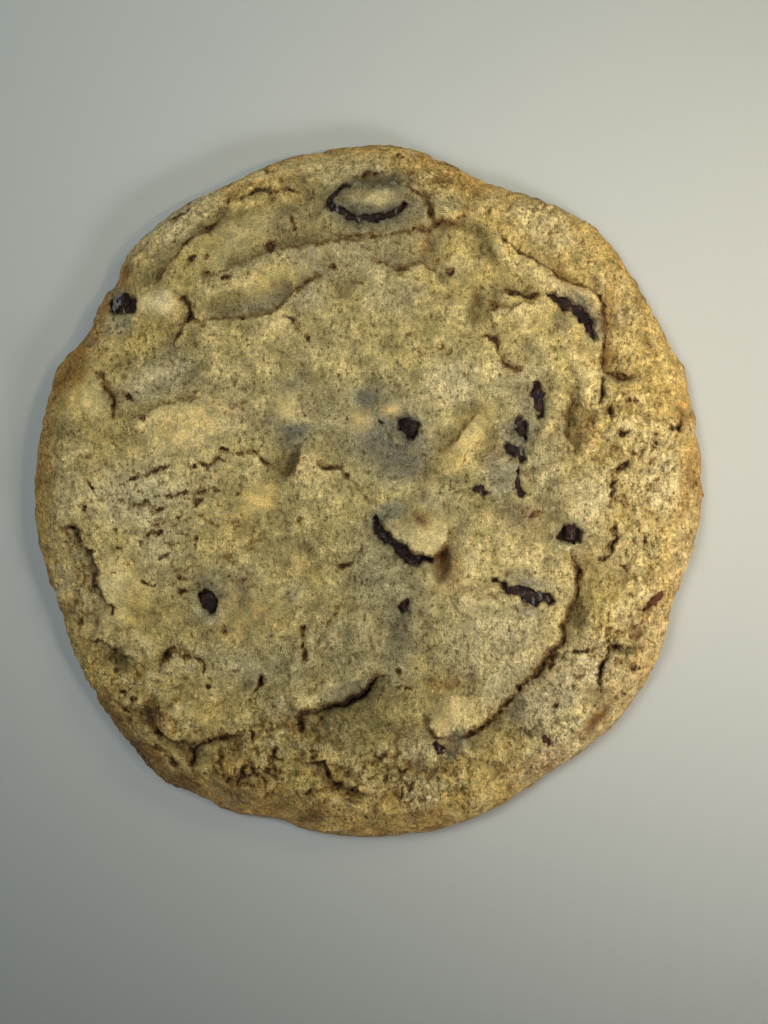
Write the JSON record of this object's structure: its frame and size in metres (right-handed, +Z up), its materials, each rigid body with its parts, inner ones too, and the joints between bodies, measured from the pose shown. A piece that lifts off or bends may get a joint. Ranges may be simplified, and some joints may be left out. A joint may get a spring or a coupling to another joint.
{
  "type": "chocolate chip cookie",
  "caption": "Large round baked cookie with a folded, cracked, domed top, a flat base and softened chocolate chips showing through windows in the dough.",
  "frame": {"origin": "middle of the flat base, on the surface that the cookie lies on", "axes": "+Z up through the domed top, +X to the right and +Y to the top of the cookie as seen from above"},
  "size_m": [0.0968, 0.1004, 0.0141],
  "materials": {
    "baked_dough": "dry matte baked crumb, pale gold with toasted and greyed patches",
    "chocolate": "dark chocolate, softly satin where it melted and set"
  },
  "bodies": {
    "root": {"dough": "baked_dough", "chip_top": "chocolate", "chip_left_rim": "chocolate", "chip_under_lid": "chocolate", "chip_tall_slot": "chocolate", "chip_leaf": "chocolate", "chip_film_upper": "chocolate", "chip_film_lower": "chocolate", "chip_film_right": "chocolate", "chip_centre": "chocolate", "chip_under_knob": "chocolate", "chip_small_low": "chocolate", "chip_long_slot": "chocolate", "chip_right": "chocolate", "chip_left": "chocolate", "chip_under_nose": "chocolate", "chip_in_crevice": "chocolate", "chip_lower_rim": "chocolate", "chip_right_rim": "chocolate"}
  },
  "joints": []
}
